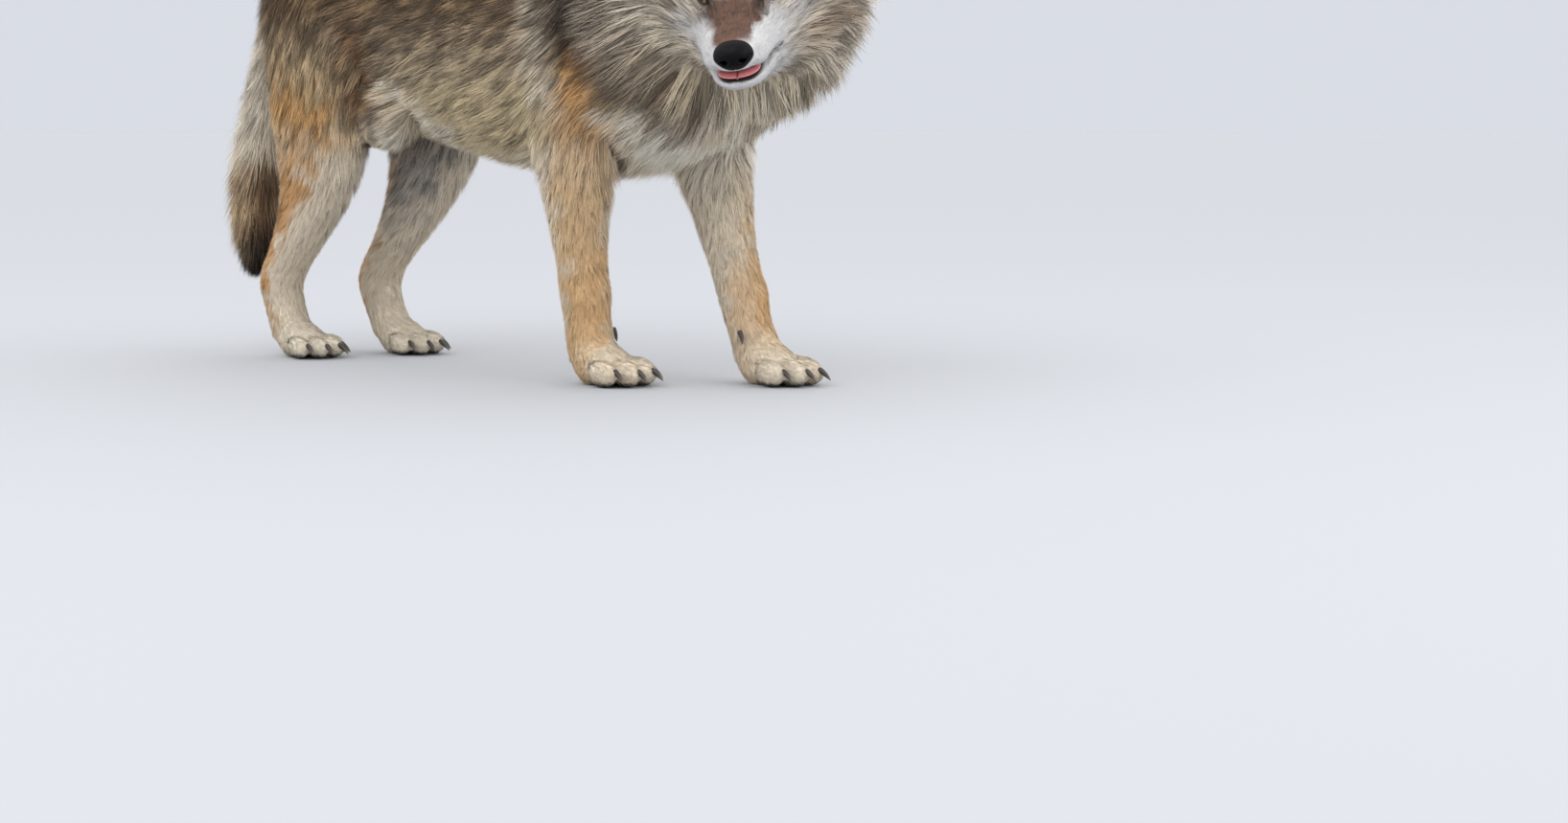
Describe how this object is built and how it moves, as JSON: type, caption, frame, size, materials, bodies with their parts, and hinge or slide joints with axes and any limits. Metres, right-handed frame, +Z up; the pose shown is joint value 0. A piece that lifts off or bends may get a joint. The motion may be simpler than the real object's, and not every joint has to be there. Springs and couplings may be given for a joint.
{
  "type": "grey wolf",
  "caption": "Adult grey wolf in winter coat, life size, standing with its head low and turned to its right, tongue tip showing, tail hanging.",
  "frame": {"origin": "centre of the bounding box's bottom face, on the floor between the feet", "axes": "+X the way the body faces, +Y to the wolf's left, +Z up"},
  "size_m": [1.2646, 0.4066, 0.734],
  "materials": {
    "head_fur": "short dense fur: warm brown bridge and brow, white muzzle sides and cheeks",
    "ear_fur": "short velvety fur, brown at the back and pale inside",
    "jaw_fur": "short white fur with a dark lip",
    "neck_fur": "long thick ruff, grey-beige with dark tips, white below",
    "trunk_fur": "long grey-brown guard hair with black tips over cream wool",
    "tail_fur": "long bushy fur, grey-brown with a dark inner side and a black tip",
    "leg_fur": "short fur, tan in front and cream behind",
    "paw_fur": "short cream fur over bare dark pads",
    "nose_pad": "moist pebbled black skin",
    "tongue": "moist pink",
    "eye": "wet amber iris with a round black pupil",
    "claw": "dark brown horn"
  },
  "bodies": {
    "root": {"claw_dew_left": "claw", "claw_dew_right": "claw", "claw_fore_left_1": "claw", "claw_fore_left_2": "claw", "claw_fore_left_3": "claw", "claw_fore_left_4": "claw", "claw_fore_right_1": "claw", "claw_fore_right_2": "claw", "claw_fore_right_3": "claw", "claw_fore_right_4": "claw", "claw_hind_left_1": "claw", "claw_hind_left_2": "claw", "claw_hind_left_3": "claw", "claw_hind_left_4": "claw", "claw_hind_right_1": "claw", "claw_hind_right_2": "claw", "claw_hind_right_3": "claw", "claw_hind_right_4": "claw", "ear_left": "ear_fur", "ear_right": "ear_fur", "eye_left": "eye", "eye_right": "eye", "foreleg_left": "leg_fur", "foreleg_right": "leg_fur", "head": "head_fur", "hindleg_left": "leg_fur", "hindleg_right": "leg_fur", "jaw": "jaw_fur", "neck": "neck_fur", "nose": "nose_pad", "paw_fore_left": "paw_fur", "paw_fore_right": "paw_fur", "paw_hind_left": "paw_fur", "paw_hind_right": "paw_fur", "tail": "tail_fur", "tongue": "tongue", "trunk": "trunk_fur"}
  },
  "joints": []
}
